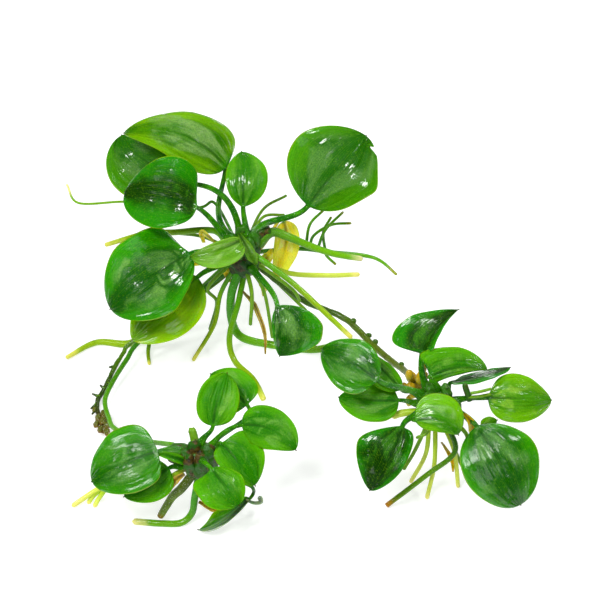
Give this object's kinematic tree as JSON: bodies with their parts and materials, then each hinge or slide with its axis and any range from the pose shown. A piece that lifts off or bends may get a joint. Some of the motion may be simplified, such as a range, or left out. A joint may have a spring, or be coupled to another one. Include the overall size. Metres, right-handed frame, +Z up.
{
  "type": "anubias plant",
  "caption": "Loose water plant: a large rosette of round glossy leaves and smaller rosettes grown from it on runners, all standing on stiff spreading roots.",
  "frame": {"origin": "middle of the plant's footprint, on the surface that it stands on", "axes": "+X from the young rosette on the left to the one on the right, along the plant's longest side; +Y away from the viewer, towards the large rosette; +Z up"},
  "size_m": [0.2386, 0.2225, 0.1005],
  "materials": {
    "leaf": "glossy wet leaf",
    "leaf_yellow_green": "glossy wet leaf",
    "leaf_yellow": "soft withered leaf",
    "root": "smooth, moist",
    "root_dark": "smooth, moist",
    "runner": "knobby, moist",
    "crown": "rough, wet"
  },
  "bodies": {
    "root": {"bud_stalk": "runner", "left_crown": "crown", "left_leaf_back": "leaf", "left_leaf_back_low": "leaf", "left_leaf_folded": "leaf", "left_leaf_front": "leaf", "left_leaf_front_right": "leaf", "left_leaf_outer": "leaf", "left_leaf_outer_low": "leaf", "left_leaf_right": "leaf", "left_root_far": "root", "left_root_floor": "root", "left_root_thick": "root", "left_runner": "root", "mother_crown": "crown", "mother_leaf_back": "leaf", "mother_leaf_back_left": "leaf", "mother_leaf_far_left": "leaf", "mother_leaf_front": "leaf", "mother_leaf_front_left": "leaf", "mother_leaf_left": "leaf", "mother_leaf_right": "leaf", "mother_leaf_withered": "leaf_yellow", "mother_leaf_yellowing": "leaf_yellow_green", "mother_leaf_young": "leaf", "mother_root_far_left": "root_dark", "mother_root_floor_left": "root", "mother_root_front": "root", "mother_root_front_left": "root", "mother_root_front_right": "root", "mother_root_left": "root", "mother_root_right": "root", "mother_root_right_low": "root_dark", "mother_root_right_pale": "root", "mother_root_to_viewer": "root", "right_crown": "crown", "right_leaf_back": "leaf", "right_leaf_back_middle": "leaf", "right_leaf_centre": "leaf", "right_leaf_edge_on": "leaf", "right_leaf_front_left": "leaf", "right_leaf_front_right": "leaf", "right_leaf_left": "leaf", "right_leaf_left_behind": "leaf", "right_leaf_left_low": "leaf", "right_leaf_right": "leaf", "right_leaf_small": "leaf", "right_root_front": "root", "right_root_left": "root", "right_root_pale": "root", "right_runner": "runner", "right_stalk_cut": "root_dark"}
  },
  "joints": []
}
